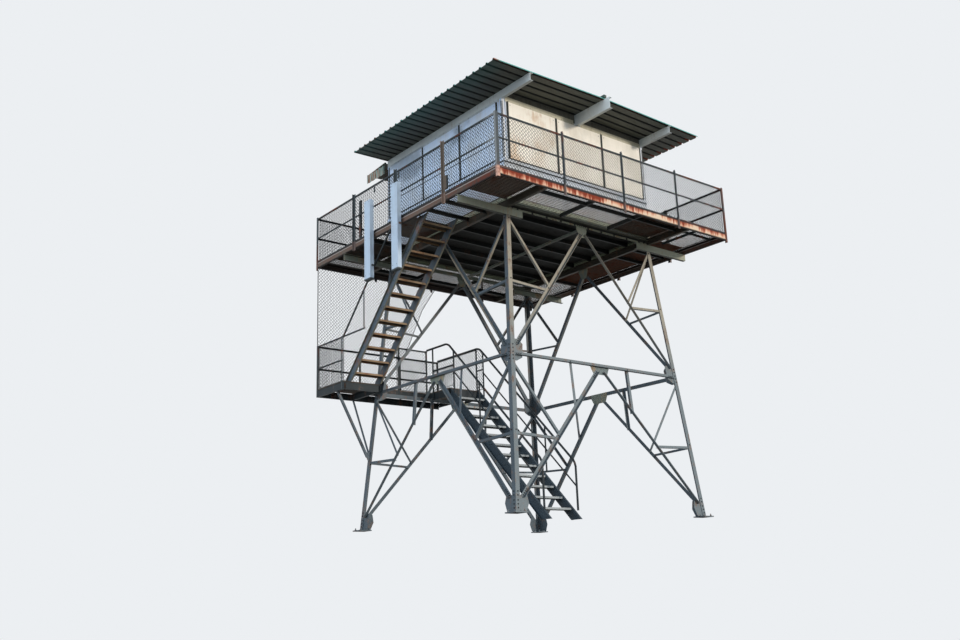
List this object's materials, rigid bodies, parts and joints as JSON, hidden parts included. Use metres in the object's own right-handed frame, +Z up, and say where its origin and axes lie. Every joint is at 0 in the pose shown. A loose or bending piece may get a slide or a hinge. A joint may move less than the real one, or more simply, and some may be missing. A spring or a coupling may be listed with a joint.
{
  "type": "fire lookout tower",
  "caption": "Steel fire lookout tower: battered braced legs, railed walkway deck, shuttered cab under a ribbed roof, two stair flights and a railed landing.",
  "frame": {"origin": "centre of the bounding box at the level the legs stand on", "axes": "+Z up; +X along the front face, to the right for someone facing it; +Y from the front face toward the back"},
  "size_m": [6.908, 6.806, 8.829],
  "materials": {
    "galvanised": "satin",
    "deck_steel": "satin",
    "green_steel": "satin",
    "dark_steel": "satin",
    "grating": "satin",
    "wall_panel": "satin",
    "shutter_panel": "satin",
    "dark_trim": "satin",
    "roof_sheet": "satin",
    "roof_beam": "satin",
    "stair_steel": "satin",
    "tread_steel": "satin",
    "white_panel": "satin",
    "floor_board": "matte"
  },
  "bodies": {
    "root": {"base_plates": "galvanised", "cab_floor": "floor_board", "corner_posts": "wall_panel", "deck_joists": "dark_steel", "door_hood": "roof_sheet", "door_leaf": "shutter_panel", "eave_closures": "dark_trim", "edge_channels": "deck_steel", "floor_rim": "green_steel", "head_walls": "wall_panel", "landing_braces": "galvanised", "landing_channels": "stair_steel", "landing_floor": "grating", "landing_guards": "dark_steel", "leg_gussets": "galvanised", "lower_stair_handrails": "stair_steel", "lower_stair_stringers": "stair_steel", "lower_stair_treads": "tread_steel", "main_beams": "deck_steel", "main_braces": "galvanised", "middle_gussets": "green_steel", "mullions": "dark_trim", "outriggers": "green_steel", "panel_boxes": "white_panel", "panel_brackets": "dark_steel", "railing_back": "dark_steel", "railing_front": "dark_steel", "railing_left": "dark_steel", "railing_right": "dark_steel", "redundant_braces": "galvanised", "ridge_cap": "roof_sheet", "ring_hangers": "galvanised", "ring_struts": "galvanised", "roof_beams": "roof_beam", "roof_sheets": "roof_sheet", "shutters": "shutter_panel", "sill_ledges": "wall_panel", "sill_walls": "wall_panel", "stair_guard_rail": "dark_steel", "top_struts": "green_steel", "tower_legs": "galvanised", "upper_stair_stringers": "stair_steel", "upper_stair_treads": "tread_steel", "walkway_gratings": "grating"}
  },
  "joints": []
}
